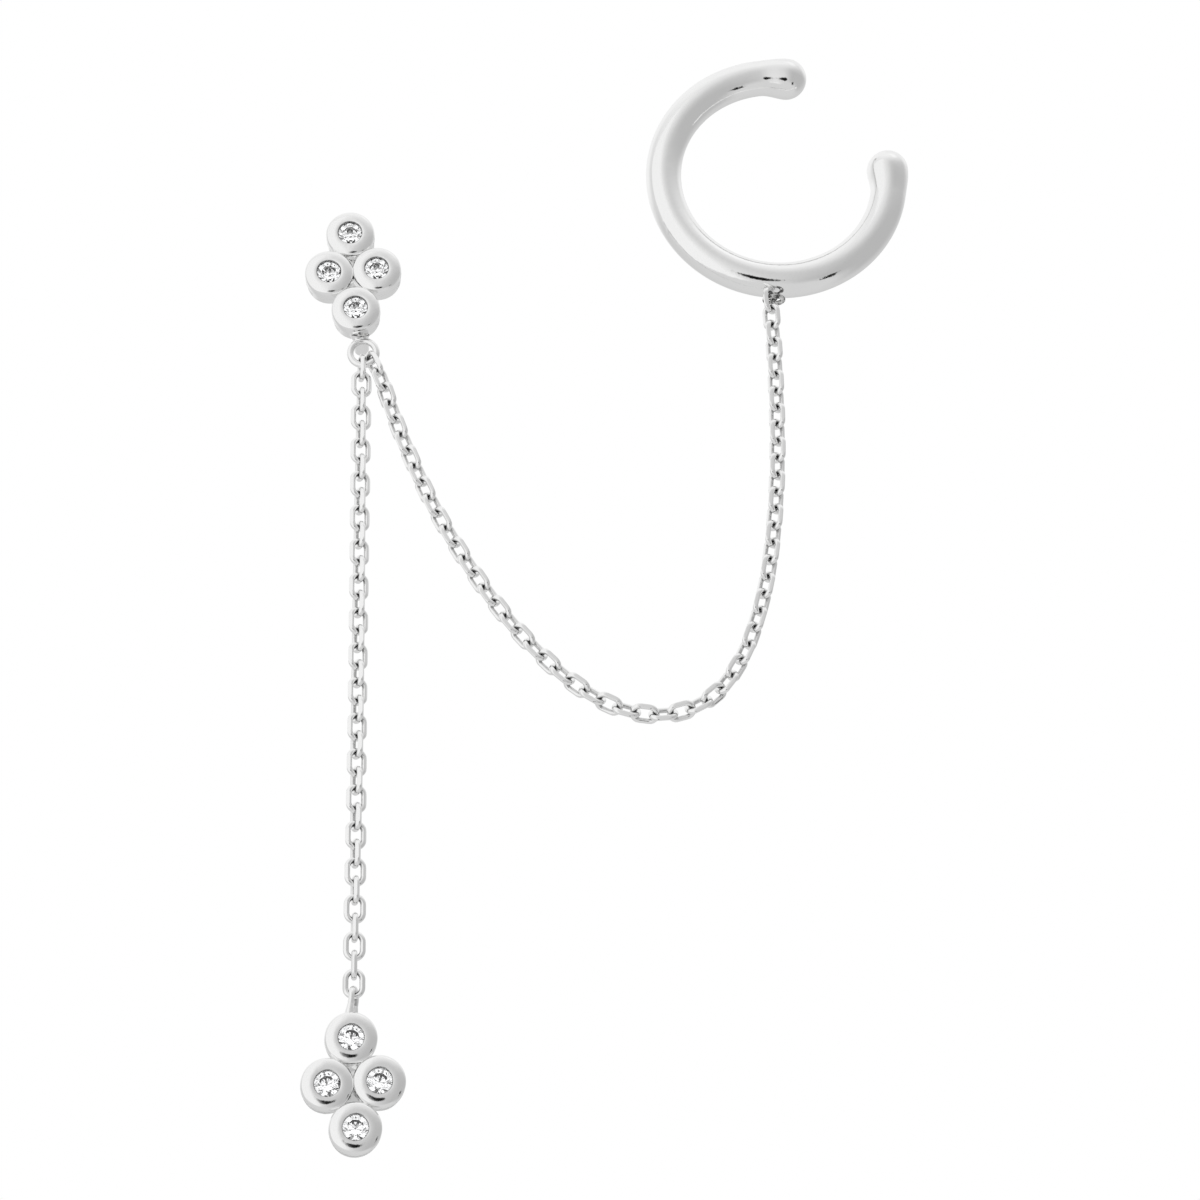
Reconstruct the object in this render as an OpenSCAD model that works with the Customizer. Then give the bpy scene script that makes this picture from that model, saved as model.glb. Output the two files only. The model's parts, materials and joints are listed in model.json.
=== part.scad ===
// Ear chain earring: a stud of four round bezels carries two fine cable chains.
// One hangs straight down to a matching pendant, the other drapes across to an open ear cuff.
// Millimetres, +Z up, the front faces -Y. The origin is the middle of the stud's back,
// where the post enters the ear.

/* [Bezels] */
// Outer diameter of one round bezel
bezel_d = 2.4; // [2.2:0.05:3]
// Depth of a bezel, from its back to the crest of its lip
bezel_depth = 1.35; // [1.25:0.05:1.8]
// Height of the plain base below the domed lip
base_h = 0.6; // [0.4:0.05:0.7]
// How far the base stands in from the lip
base_step = 0.05; // [0.03:0.01:0.1]
// Radius of the lip's outer round
lip_round = 0.45; // [0.3:0.05:0.5]
// Radius of the lip's inner round, at the stone
lip_edge = 0.1; // [0.05:0.01:0.15]
// Width of the solder joint's overlap between two bezels
solder_lap = 0.05; // [0.03:0.01:0.1]
// How deep a neck or a foot is let into what it is soldered to
solder_depth = 0.15; // [0.1:0.05:0.25]

/* [Stones] */
// Diameter of a stone at its girdle
stone_d = 1.3; // [1:0.05:1.4]
// Width of the stone's table as a share of its diameter
table_share = 0.57; // [0.5:0.01:0.65]
// Angle of the crown facets to the girdle
crown_angle = 34; // [28:1:36]
// Angle of the pavilion facets to the girdle
pavilion_angle = 41; // [38:1:43]
// How far from the middle the lower halves start, as a share of the stone's radius
halves_share = 0.3; // [0.2:0.05:0.4]
// Thickness of the girdle
girdle_t = 0.05; // [0.03:0.01:0.08]
// How far the lip reaches in over the girdle
lip_hold = 0.05; // [0.03:0.01:0.1]
// Depth of the girdle's upper edge below the lip's crest
girdle_below = 0.3; // [0.25:0.01:0.4]
// Clearance around a stone in its seat
stone_gap = 0.03; // [0.02:0.01:0.05]

/* [Stud] */
// Turn of the stud's four bezels, seen from the front
stud_turn = 4.5; // [-10:0.5:10]
// Diameter of the pad that carries the post
pad_d = 1.3; // [1.25:0.05:1.5]
// Thickness of the pad
pad_t = 0.4; // [0.3:0.05:0.5]
// Length of the neck between the bottom bezel and the ring
neck_len = 0.2; // [0.15:0.05:1]
// Diameter of the neck
neck_d = 0.45; // [0.3:0.05:0.6]
// Lean of the neck and ring toward the cuff
neck_lean = 10; // [0:1:20]
// Diameter of the ring through the middle of its wire
ring_d = 1.25; // [1.2:0.05:1.4]
// Diameter of the ring's wire
ring_wire = 0.3; // [0.22:0.01:0.31]
// Where the straight chain hangs on the ring, from straight below toward the cuff
drop_hang = -7; // [-20:1:-6]
// Where the draped chain hangs on the ring, from straight below toward the cuff
drape_hang = 46; // [44:1:52]

/* [Ear post] */
// Diameter of the post
post_d = 0.8; // [0.7:0.05:0.95]
// Length of the post behind the stud
post_len = 8.5; // [8:0.5:12]

/* [Chains] */
// Thickness of a link's wire
wire_t = 0.22; // [0.18:0.01:0.26]
// Clear width inside a link
link_inside = 0.52; // [0.5:0.01:0.6]
// Distance from one link to the next
link_pitch = 0.875; // [0.8:0.005:1]
// Clearance between one link and the next
link_gap = 0.14; // [0.12:0.01:0.16]
// Clearance between a ring and the link that hangs on it
hook_gap = 0.17; // [0.15:0.01:0.2]
// How far the chains hang behind the middle of the bezels, so that the pendant hangs upright
chain_set_back = 0.055; // [0.02:0.005:0.1]
// Depth of the draped chain's lowest point below where it hangs on the ring
drape_sag = 18.25; // [12:0.05:24]

/* [Drop] */
// Height from the stud's middle down to the pendant's swing axis
drop_len = 36.2; // [25:0.1:50]
// Turn of the straight chain's links halfway down
drop_twist = -28; // [-45:1:45]
// Turn of the pendant's four bezels, seen from the front
pendant_turn = 3.5; // [-8:0.5:8]
// Turn of the pendant about its own upright line, with its front toward the cuff
pendant_face = 4.5; // [-8:0.5:8]
// Clear width inside the pendant's loop
loop_inside = 0.5; // [0.46:0.01:0.6]
// Diameter of the loop's wire
loop_wire = 0.28; // [0.22:0.01:0.3]
// Height of the loop's top above the top bezel
loop_rise = 1.3; // [1:0.05:1.6]
// Width of the loop's flared foot
foot_d = 0.52; // [0.4:0.02:0.6]
// Height of the loop's flared foot
foot_h = 0.25; // [0.15:0.05:0.35]

/* [Ear cuff] */
// Diameter of the cuff through the middle of its wire
cuff_d = 11.44; // [10:0.1:14]
// Diameter of the cuff's wire
cuff_wire = 1.78; // [1.4:0.02:2]
// Diameter of the round ends
ball_d = 2.04; // [2.02:0.02:2.4]
// Where the cuff's upper end sits, from +X toward +Z
upper_end = 83; // [70:1:95]
// Where the cuff's lower end sits, from +X toward +Z
lower_end = 4; // [-10:1:15]
// Distance of the cuff's middle from the stud's middle along X
cuff_x = 21.27; // [16:0.01:26]
// Height of the eyelet above the stud's middle
eyelet_z = -1.15; // [-4:0.05:2]
// Diameter of the eyelet through the middle of its wire
eyelet_d = 0.9; // [0.8:0.02:1.1]
// Diameter of the eyelet's wire
eyelet_wire = 0.24; // [0.18:0.01:0.26]
// Distance of the eyelet from the cuff's middle along X
eyelet_off = -0.4; // [-1:0.05:0]
// Distance from the middle of the eyelet's wire up to the cuff
eyelet_drop = 0.4; // [0.36:0.02:0.6]
// Where the draped chain hangs on the eyelet, from the front toward the stud
eyelet_hang = 35; // [20:1:50]
// Diameter of the eyelet's solder foot
solder_d = 0.32; // [0.28:0.02:0.4]

/* [Hidden] */

// The draped chain's chosen points between the ring and the eyelet: share of the way across,
// share of the sag, and the turn of the links there.
DRAPE_ROUTE = [
    [0.019, 0.043, -45],
    [0.077, 0.226, -45],
    [0.172, 0.457, -45],
    [0.31, 0.699, -45],
    [0.447, 0.869, -45],
    [0.566, 0.963, -45],
    [0.667, 0.997, -45],
    [0.753, 0.99, -45],
    [0.826, 0.951, -45],
    [0.879, 0.886, -45],
    [0.929, 0.778, -45],
    [0.976, 0.588, -45],
    [1.004, 0.316, -45],
    [1.008, 0.009, -45]];

exact_sides = 96;
link_stations = 12;
wire_sides = 5;
spline_steps = 12;
facet_turn = 360 / 16;

bezel_r = bezel_d / 2;
bezel_pitch = bezel_d - solder_lap;
bezel_places = [[0, bezel_pitch * sqrt(3) / 2], [-bezel_pitch / 2, 0],
    [bezel_pitch / 2, 0], [0, -bezel_pitch * sqrt(3) / 2]];
aperture_r = stone_d / 2 - lip_hold;
girdle_z = bezel_depth - girdle_below;
pavilion_h = stone_d / 2 * tan(pavilion_angle);

chain_y = chain_set_back - bezel_depth / 2;

neck_dir = [sin(neck_lean), -cos(neck_lean)];
stud_low = turned(bezel_places[3], stud_turn);
ring_mid = stud_low + neck_dir * (bezel_r + neck_len + ring_d / 2 + ring_wire / 2);
drop_hook = ring_mid + ring_d / 2 * [sin(drop_hang), -cos(drop_hang)];
drape_hook = ring_mid + ring_d / 2 * [sin(drape_hang), -cos(drape_hang)];

pendant_z = -drop_len;
pendant_x = drop_hook.x;
loop_r = loop_inside / 2 + loop_wire / 2;
loop_top_z = pendant_z + wire_t / 2 + link_gap;
pendant_mid_z = loop_top_z + loop_wire - loop_rise - bezel_r - bezel_places[0].y;

eyelet_mid = [cuff_x + eyelet_off, chain_y + eyelet_d / 2 * cos(eyelet_hang)];
eyelet_hook = [eyelet_mid.x - eyelet_d / 2 * sin(eyelet_hang), eyelet_z];
cuff_y = eyelet_mid.y + eyelet_d / 2;
cuff_mid_z = eyelet_z + eyelet_drop + cuff_wire / 2
    + sqrt(pow(cuff_d / 2, 2) - pow(eyelet_off, 2));

function turned(p, a) = [p.x * cos(a) - p.y * sin(a), p.x * sin(a) + p.y * cos(a)];
function unit(v) = v / norm(v);

// The bezels

// Half outline of a bezel: base, domed lip and the rounded edge at the stone
module bezel_outline() {
    square([bezel_r - base_step, base_h]);
    translate([0, base_h])
        square([bezel_r, bezel_depth - lip_round - base_h]);
    translate([bezel_r - lip_round, bezel_depth - lip_round])
        circle(lip_round, $fn = exact_sides);
    square([bezel_r - lip_round, bezel_depth - lip_edge]);
    translate([aperture_r + lip_edge, bezel_depth - lip_edge])
        circle(lip_edge, $fn = exact_sides);
    translate([aperture_r + lip_edge, 0])
        square([bezel_r - lip_round - aperture_r - lip_edge, bezel_depth]);
}

// Half outline of the seat cut for a stone: a cone below, a bore at the girdle, the aperture above
module seat_outline() {
    seat_r = stone_d / 2 + stone_gap;
    polygon([
        [0, girdle_z - girdle_t - pavilion_h - stone_gap],
        [seat_r, girdle_z - girdle_t - stone_gap],
        [seat_r, girdle_z + stone_gap],
        [aperture_r, girdle_z + stone_gap + lip_hold],
        [aperture_r, bezel_depth + lip_edge],
        [0, bezel_depth + lip_edge]]);
}

module bezel() {
    rotate_extrude($fn = exact_sides)
        difference() {
            bezel_outline();
            seat_outline();
        }
}

// Four bezels in a rhombus, their backs at 0 and their lips toward +Z
module bezel_cluster(turn) {
    rotate(turn)
        for (place = bezel_places)
            translate(place)
                bezel();
}

// Stands what is drawn lying on its back up to face the front
module facing_front() {
    rotate([90, 0, 0])
        children();
}

// A round bar between two places in the plane Y = 0, as [x, z] pairs
module bar(from, to, d) {
    run = to - from;
    translate([from.x, 0, from.y])
        rotate([0, atan2(run.x, run.y), 0])
            cylinder(h = norm(run), d = d, $fn = exact_sides);
}

module stud_setting() {
    color("gainsboro") {
        facing_front() {
            bezel_cluster(stud_turn);
            cylinder(h = pad_t, d = pad_d, $fn = exact_sides);
        }
        translate([0, chain_y, 0])
            bar(stud_low + neck_dir * (bezel_r - solder_depth),
                ring_mid - neck_dir * ring_d / 2, neck_d);
        translate([ring_mid.x, chain_y, ring_mid.y])
            facing_front()
                rotate_extrude($fn = exact_sides)
                    translate([ring_d / 2, 0])
                        circle(d = ring_wire, $fn = exact_sides);
    }
}

// Post with a round tip, its flat end against the pad
module ear_post() {
    color("silver")
        rotate([-90, 0, 0]) {
            cylinder(h = post_len - post_d / 2, d = post_d, $fn = exact_sides);
            translate([0, 0, post_len - post_d / 2])
                sphere(d = post_d, $fn = exact_sides);
        }
}

// The ear cuff

module ear_cuff() {
    sweep = 360 - (upper_end - lower_end);
    color("gainsboro") {
        translate([cuff_x, cuff_y, cuff_mid_z])
            facing_front() {
                rotate(upper_end)
                    rotate_extrude(angle = sweep, $fn = exact_sides)
                        translate([cuff_d / 2, 0])
                            circle(d = cuff_wire, $fn = exact_sides);
                for (end = [upper_end, lower_end])
                    rotate(end)
                        translate([cuff_d / 2, 0])
                            sphere(d = ball_d, $fn = exact_sides);
            }
        translate([eyelet_mid.x, eyelet_mid.y, eyelet_z]) {
            rotate_extrude($fn = exact_sides)
                translate([eyelet_d / 2, 0])
                    circle(d = eyelet_wire, $fn = exact_sides);
            translate([0, eyelet_d / 2, 0])
                cylinder(h = eyelet_drop + solder_depth, d = solder_d, $fn = exact_sides);
        }
    }
}

// The chains

// One point of a smooth curve through all the points of p, between p[i] and p[i + 1]
function curve_point(p, i, f) =
    let (last = len(p) - 1, a = p[max(i - 1, 0)], b = p[i], c = p[i + 1], d = p[min(i + 2, last)])
    b + ((c - a) * f + (2 * a - 5 * b + 4 * c - d) * f * f
        + (3 * b - a - 3 * c + d) * f * f * f) / 2;
function curve(p) = concat(
    [for (i = [0:len(p) - 2]) for (k = [0:spline_steps - 1]) curve_point(p, i, k / spline_steps)],
    [p[len(p) - 1]]);
function run_lengths(p) = [for (i = 0, s = 0; i < len(p);
    s = s + (i + 1 < len(p) ? norm([p[i + 1].x - p[i].x, p[i + 1].y - p[i].y]) : 0), i = i + 1) s];

// Middle of a link's wire in the link's own plane: two round ends joined by straight bars
function link_path(long, wide) =
    let (r = wide / 2, per_end = link_stations / 2, step = 180 / (per_end - 1),
        straight = long / 2 - r * cos(step / 2))
    [for (side = [0, 1]) for (k = [0:per_end - 1])
        let (a = 180 * side - 90 + k * step)
        [(side == 0 ? straight : -straight) + r * cos(a), r * sin(a)]];

// Outward directions along a closed path
function path_normals(p) = [for (k = [0:len(p) - 1])
    let (n = len(p), before = unit(p[k] - p[(k + n - 1) % n]), after = unit(p[(k + 1) % n] - p[k]),
        along = unit(before + after))
    [along.y, -along.x]];

// One link between two joints of a chain, as [x, z] pairs, with its flat-cut side outward
module link(from, to, turn, pitch) {
    middle = [(from.x + to.x) / 2, chain_y, (from.y + to.y) / 2];
    along = unit([to.x - from.x, 0, to.y - from.y]);
    front = [0, -1, 0];
    side = cross(front, along);
    across = cos(turn) * side + sin(turn) * front;
    upright = cross(along, across);
    path = link_path(pitch + wire_t + link_gap, link_inside + wire_t);
    normals = path_normals(path);
    half_angle = 180 / wire_sides;
    wire_r = wire_t / (1 + cos(half_angle));
    shift = wire_r - wire_t / 2;
    points = [for (k = [0:link_stations - 1]) for (j = [0:wire_sides - 1])
        let (a = half_angle * (2 * j + 1), out = wire_r * cos(a) + shift,
            place = path[k] + normals[k] * out)
        middle + along * place.x + across * place.y + upright * wire_r * sin(a)];
    function at(k, j) = (k % link_stations) * wire_sides + j % wire_sides;
    faces = [for (k = [0:link_stations - 1]) for (j = [0:wire_sides - 1]) for (half = [0, 1])
        half == 0 ? [at(k, j), at(k, j + 1), at(k + 1, j + 1)]
            : [at(k, j), at(k + 1, j + 1), at(k + 1, j)]];
    polyhedron(points, faces);
}

// A chain along a table of [x, z, turn] rows. Every second link stands a quarter turn further.
module chain(rows, spare) {
    path = curve(rows);
    runs = run_lengths(path);
    total = runs[len(runs) - 1];
    links = spare + 2 * round((total / link_pitch - spare) / 2);
    pitch = total / links;
    xs = [for (i = [0:len(path) - 1]) [runs[i], path[i].x]];
    zs = [for (i = [0:len(path) - 1]) [runs[i], path[i].y]];
    turns = [for (i = [0:len(path) - 1]) [runs[i], path[i].z]];
    joints = [for (i = [0:links]) [lookup(i * pitch, xs), lookup(i * pitch, zs)]];
    for (i = [0:links - 1])
        link(joints[i], joints[i + 1], lookup((i + 0.5) * pitch, turns) + 90 * (i + 1), pitch);
}

// Distance from a ring's wire back to the first joint of a chain that hangs on it
function hook_lead(wire) = (wire + wire_t) / 2 + hook_gap - (wire_t + link_gap) / 2;

module drop_chain() {
    lead = hook_lead(ring_wire);
    top = [drop_hook.x, drop_hook.y + lead];
    low = [pendant_x, pendant_z + (wire_t + link_gap) / 2];
    color("gainsboro")
        chain([[top.x, top.y, drop_twist / 2], [top.x, (top.y * 2 + low.y) / 3, drop_twist],
            [low.x, (top.y + low.y * 2) / 3, drop_twist], [low.x, low.y, 0]], 0);
}

module drape_chain() {
    span = eyelet_hook.x - drape_hook.x;
    spots = [for (row = DRAPE_ROUTE)
        [drape_hook.x + row[0] * span, drape_hook.y - row[1] * drape_sag, row[2]]];
    start = drape_hook - hook_lead(ring_wire) * unit([spots[0].x, spots[0].y] - drape_hook);
    end = [eyelet_hook.x, eyelet_hook.y + hook_lead(eyelet_wire), -eyelet_hang];
    color("gainsboro")
        chain(concat([[start.x, start.y, 0]], spots, [end]), 1);
}

// The pendant

// Loop that stands on the top bezel, seen edge-on from the front
module loop() {
    legs = loop_rise - loop_r - loop_wire / 2 + solder_depth;
    translate([pendant_x, chain_y, loop_top_z + loop_wire / 2 - loop_r])
        rotate([0, 0, 90]) {
            facing_front()
                rotate_extrude(angle = 180, $fn = exact_sides)
                    translate([loop_r, 0])
                        circle(d = loop_wire, $fn = exact_sides);
            for (x = [-loop_r, loop_r])
                translate([x, 0, -legs]) {
                    cylinder(h = legs, d = loop_wire, $fn = exact_sides);
                    cylinder(h = foot_h + solder_depth, d1 = foot_d, d2 = loop_wire,
                        $fn = exact_sides);
                }
        }
}

// Turns the pendant's pieces about the upright line through its loop
module faced(turn) {
    translate([pendant_x, chain_y, 0])
        rotate(turn)
            translate([-pendant_x, -chain_y, 0])
                children();
}

module drop_setting() {
    color("gainsboro")
        faced(pendant_face) {
            translate([pendant_x, 0, pendant_mid_z])
                facing_front()
                    bezel_cluster(pendant_turn);
            loop();
        }
}

// The stones

// Round brilliant with its girdle's upper edge at 0: an eight-sided table, stars, kites and
// halves above, mains and halves below.
module brilliant(d) {
    r = d / 2;
    table_r = r * table_share;
    crown_h = (r - table_r) * tan(crown_angle);
    star_r = (table_r + r) / 2;
    star_h = crown_h * (r - star_r * cos(facet_turn)) / (r - table_r);
    half_r = r * halves_share;
    half_h = pavilion_h * (1 - half_r * cos(facet_turn) / r);
    function spot(rad, k, z) = [rad * cos(facet_turn * k), rad * sin(facet_turn * k), z];
    points = concat(
        [for (i = [0:7]) spot(table_r, 2 * i, crown_h)],
        [for (i = [0:7]) spot(star_r, 2 * i + 1, star_h)],
        [for (k = [0:15]) spot(r, k, 0)],
        [for (k = [0:15]) spot(r, k, -girdle_t)],
        [for (i = [0:7]) spot(half_r, 2 * i + 1, -girdle_t - half_h)],
        [[0, 0, -girdle_t - pavilion_h]]);
    function table(i) = i % 8;
    function star(i) = 8 + i % 8;
    function upper(k) = 16 + k % 16;
    function lower(k) = 32 + k % 16;
    function half(i) = 48 + i % 8;
    culet = 56;
    faces = concat(
        [[for (i = [7:-1:0]) table(i)]],
        [for (i = [0:7]) [table(i), table(i + 1), star(i)]],
        [for (i = [0:7]) [table(i), star(i), upper(2 * i)]],
        [for (i = [0:7]) [table(i + 1), upper(2 * i + 2), star(i)]],
        [for (i = [0:7]) [star(i), upper(2 * i + 1), upper(2 * i)]],
        [for (i = [0:7]) [star(i), upper(2 * i + 2), upper(2 * i + 1)]],
        [for (k = [0:15]) [upper(k), upper(k + 1), lower(k + 1)]],
        [for (k = [0:15]) [upper(k), lower(k + 1), lower(k)]],
        [for (i = [0:7]) [half(i), lower(2 * i), lower(2 * i + 1)]],
        [for (i = [0:7]) [half(i), lower(2 * i + 1), lower(2 * i + 2)]],
        [for (i = [0:7]) [culet, lower(2 * i), half(i)]],
        [for (i = [0:7]) [culet, half(i), lower(2 * i + 2)]]);
    polyhedron(points, faces);
}

module stone(group_x, group_z, turn, place) {
    color("azure")
        translate([group_x, 0, group_z])
            facing_front()
                rotate(turn)
                    translate([bezel_places[place].x, bezel_places[place].y, girdle_z])
                        brilliant(stone_d);
}

module stud_stone(place) stone(0, 0, stud_turn, place);
module drop_stone(place)
    faced(pendant_face)
        stone(pendant_x, pendant_mid_z, pendant_turn, place);

stud_setting();
ear_post();
ear_cuff();
drape_chain();
drop_chain();
drop_setting();
stud_stone(0);  // stud_stone_top
stud_stone(1);  // stud_stone_left
stud_stone(2);  // stud_stone_right
stud_stone(3);  // stud_stone_bottom
drop_stone(0);  // drop_stone_top
drop_stone(1);  // drop_stone_left
drop_stone(2);  // drop_stone_right
drop_stone(3);  // drop_stone_bottom
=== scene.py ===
# Looks of the ear chain earring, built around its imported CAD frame. Metres, +Z up, front to -Y.
import json
import math

import bmesh
import bpy
import numpy as np
from mathutils import Matrix, Vector
from mathutils import noise as mathutils_noise


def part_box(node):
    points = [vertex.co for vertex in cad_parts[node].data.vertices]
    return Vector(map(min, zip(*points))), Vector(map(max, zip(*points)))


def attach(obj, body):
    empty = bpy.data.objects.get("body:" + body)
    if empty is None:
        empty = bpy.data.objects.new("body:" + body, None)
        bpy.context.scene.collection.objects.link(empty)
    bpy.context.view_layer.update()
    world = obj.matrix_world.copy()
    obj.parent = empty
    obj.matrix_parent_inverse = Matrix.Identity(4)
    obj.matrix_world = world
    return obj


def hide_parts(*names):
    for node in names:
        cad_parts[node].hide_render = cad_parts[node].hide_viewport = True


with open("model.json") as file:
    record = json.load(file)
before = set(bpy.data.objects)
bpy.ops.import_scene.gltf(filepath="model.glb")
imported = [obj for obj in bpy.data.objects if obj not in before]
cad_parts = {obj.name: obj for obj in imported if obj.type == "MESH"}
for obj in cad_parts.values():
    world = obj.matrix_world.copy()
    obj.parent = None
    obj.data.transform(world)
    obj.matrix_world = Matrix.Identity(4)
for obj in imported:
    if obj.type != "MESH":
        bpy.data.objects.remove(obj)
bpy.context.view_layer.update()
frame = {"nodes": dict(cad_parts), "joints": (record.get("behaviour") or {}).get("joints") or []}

MM = 0.001

# Camera: where it stands, what is in the middle of the picture, and how far it is rolled
CAMERA_PLACE = (7.225, -135.732, -64.653)
CAMERA_AIM = (11.966, -0.62, -17.077)
CAMERA_ROLL = math.radians(-0.904)
CAMERA_LENS = 90
SENSOR = 36
CAMERA_CLIP = (0.001, 10)

# Bezels, in millimetres
BEZEL_R = 1.197
BEZEL_DEPTH = 1.35
BASE_H = 0.6
BASE_STEP = 0.05
EASE = 0.04
# The lip's edge and front as radii, and how steep the front is at the shoulder and at the edge
LIP_EDGE = 0.05
LIP_FRONT_R = 0.88
LIP_FRONT = math.radians(25)
LIP_INNER = math.radians(5)
APERTURE_R = 0.58
SEAT_GAP = 0.03
SEAT_SLOPE = 0.08
AROUND = 96
SPOTS = ("top", "left", "right", "bottom")
# Steps along the eased edges of base, side and pad, and along the lip's shoulder, front and edge
BASE_ARC, SIDE_ARC, PAD_ARC = 4, 3, 3
SHOULDER_STEPS, FRONT_STEPS, EDGE_STEPS = 14, 12, 8
# Solder webs between the bezels: how far they reach towards the side and end bezels' middles, as
# shares, and how far in front of the back their own back and the three corners of their front lie
WEB_SIDE, WEB_TIP = 0.72, 0.6
WEB_BACK = 0.1
WEB_FRONT = (0.9, 0.75, 0.6)

# Stones
STONE_R = 0.65
GIRDLE_H = 1.05
GIRDLE_T = 0.05
PAVILION_ANGLE = math.radians(41)
CROWN_ANGLE = math.radians(34)
TABLE_SHARE = 0.57
HALVES_SHARE = 0.3
# Each stone's turn in its seat, and how it is tipped about X and Y, in degrees
STUD_TURNS = (28, 35, 28, 22)
STUD_TILTS = ((6, 2), (5, 5), (6, -2), (6, -1))
DROP_TURNS = (35, 14, 28, 22)
DROP_TILTS = ((-7, 5), (-8, -5), (-9, 2), (-8, -1))

# Shade painted in hollows: the seat behind a bezel's lip, the lip's edge and how soon it is that
# dark, and the insides of the ring and the loop
SEAT_PAINTED_SHADE = 0.4
SEAT_REACH = BEZEL_R - 0.3
APERTURE_PAINTED_SHADE = 0.62
APERTURE_RISE = 1.5
RING_PAINTED_SHADE = 0.45
LOOP_PAINTED_SHADE = 0.5

# Ring, neck, pad and post of the stud
CHAIN_Y = -0.62
RING_D = 1.28
RING_WIRE = 0.33
RING_MIDDLE = (0.537, -4.171)
RING_STEPS = 64
NECK_D = 0.62
# How the neck is waisted: share of the way down, and what is added to its radius there
NECK_FLARE = ((0, 0.2), (0.35, 0.16), (0.6, 0.11), (0.77, 0.04), (0.9, -0.09), (1, -0.22))
PAD_D = 1.3
PAD_T = 0.4
PAD_AROUND = 64
POST_D = 0.8
TIP_STEPS = 12
BAR_AROUND = 48
# How deep a neck, a foot or a solder bar is let into what it is soldered to
SUNK = 0.15

# Pendant and its loop: a round bend, and two legs that lean from the hinge to the top bezel
LOOP_WIRE = 0.28
LOOP_INSIDE = 0.5
LOOP_TURN = math.radians(-16)
LOOP_AROUND = 20
BEND_STEPS, LEG_STEPS = 24, 12
# How the legs flare at their feet: the leg's point up to which they do, then share of the way up
# from the foot and radius there
FOOT_END = 3
FOOT_FLARE = ((0, 0.22), (0.3, 0.2), (0.6, 0.17), (0.85, 0.15), (1, 0.13))
# How far the pendant faces the cuff, and the upright line that it is turned about
PENDANT_FACE = math.radians(4.5)
PENDANT_LINE = (0.461, -0.62, 0)

# Cuff, and the ends where its wire swells over CUFF_SWELL and is drawn in by CUFF_END_IN
CUFF_MIDDLE = (21.27, 0.199, 5.846)
CUFF_R = 5.72
CUFF_WIRE_R = 0.89
CUFF_END_R = 1.04
CUFF_END_IN = 0.036
CUFF_SWELL = 1.4
CUFF_UPPER = math.radians(83)
CUFF_LOWER = math.radians(4)
CUFF_STEPS, CUFF_AROUND = 180, 48
# The round ends' steps, and the share of the quarter turn at which they are closed
CAP_STEPS, CAP_REACH = 14, 0.995

# Eyelet under the cuff, and the round bar that rises from its back: share of the way up and radius
EYELET_MIDDLE = (20.87, -0.251, -1.15)
EYELET_R = 0.45
EYELET_WIRE = 0.24
EYELET_STEPS, EYELET_AROUND = 48, 16
EYELET_BAR_H = 0.4
EYELET_BAR = ((0, 0.1), (0.3, 0.12), (0.6, 0.13), (0.8, 0.16), (1, 0.18))

# Lumps of solder: how far each is from its place, its half sizes, and where its noise is read
NECK_SOLDER_DOWN = 0.16
NECK_SOLDER = ((0.02, -0.36, 0), (0.4, 0.17, 0.1), 3.0)
EYELET_SOLDER = ((-0.02, -0.08, 0.2), (0.2, 0.18, 0.1), 7.0)
LUMP_UNEVEN, LUMP_SCALE = 0.35, 2.1
LUMP_STEPS = 28

# Chain links
LINK_INSIDE_LENGTH = 0.89
LINK_INSIDE_WIDTH = 0.5
LINK_WIRE = 0.27
LINK_FLAT = 0.035
LINK_CORNER_STEPS, LINK_AROUND = 9, 24
# The corners' radius, and the way over which the painted shade at the ends grows, as shares of a
# link's width
LINK_BEND_SHARE = 0.499
LINK_END_SHARE = 0.35
# How much shade is painted on the wire's inner side along the sides, and what is added to that at
# the ends
LINK_SIDE_PAINTED_SHADE, LINK_END_PAINTED_SHADE = 0.45, 0.55

# Edges sharper than these stay sharp, and points nearer than these, in metres, are merged
SHARP_EDGE, LINK_SHARP_EDGE = math.radians(35), math.radians(24)
MERGED, LINK_MERGED = 1e-8, 1e-7

# Inputs of the metal's shared finish, among them the grey of its painted shade in hollows, and what
# they are at first
FINISH_INPUTS = (
    ("Metal", "NodeSocketColor", (0.96, 0.96, 0.955, 1)),
    ("Tarnish", "NodeSocketColor", (0.9, 0.9, 0.895, 1)),
    ("Painted Shade", "NodeSocketColor", (0.2, 0.2, 0.2, 1)),
    ("Wave Scale", "NodeSocketFloat", 400.0),
    ("Hairline Scale", "NodeSocketFloat", 6000.0),
    ("Low Roughness", "NodeSocketFloat", 0.03),
    ("High Roughness", "NodeSocketFloat", 0.08),
)
# Metal, solder and stone
WAVE_DETAIL, HAIRLINE_DETAIL = 2.0, 4.0
WAVE_RELIEF, HAIRLINE_RELIEF = 0.85, 0.15
# How the shade painted in hollows is broken up by noise, where it starts and is full, and how much
# rougher the metal is there
PAINTED_SHADE_UNEVEN = 0.8
PAINTED_SHADE_START, PAINTED_SHADE_FULL = 0.2, 0.8
PAINTED_SHADE_ROUGHNESS = 0.2
PIT_SCALE, PIT_DETAIL = 5200.0, 5.0
PIT_EDGES, SHINE_EDGES = (0.4, 0.62), (0.3, 0.7)
PIT_RELIEF = 0.00004
SOLDER_BURNT, SOLDER_CLEAN = (0.1, 0.1, 0.1), (0.82, 0.82, 0.81)
SOLDER_PITTED, SOLDER_SMOOTH = 0.5, 0.2
STONE_IOR = 2.15
STONE_CLEAR, STONE_VEIL = (1.0, 1.0, 1.0), (0.97, 0.98, 0.99)
VEIL_SCALE, VEIL_DETAIL = 1500.0, 2.0

# Light tent: the levels of its cloth below, around and above, and where they change, in degrees
TENT_LEVELS = (0.68, 0.63, 0.93)
TENT_LOW_STEP, TENT_HIGH_STEP = (-60, 5), (18, 74)
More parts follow.
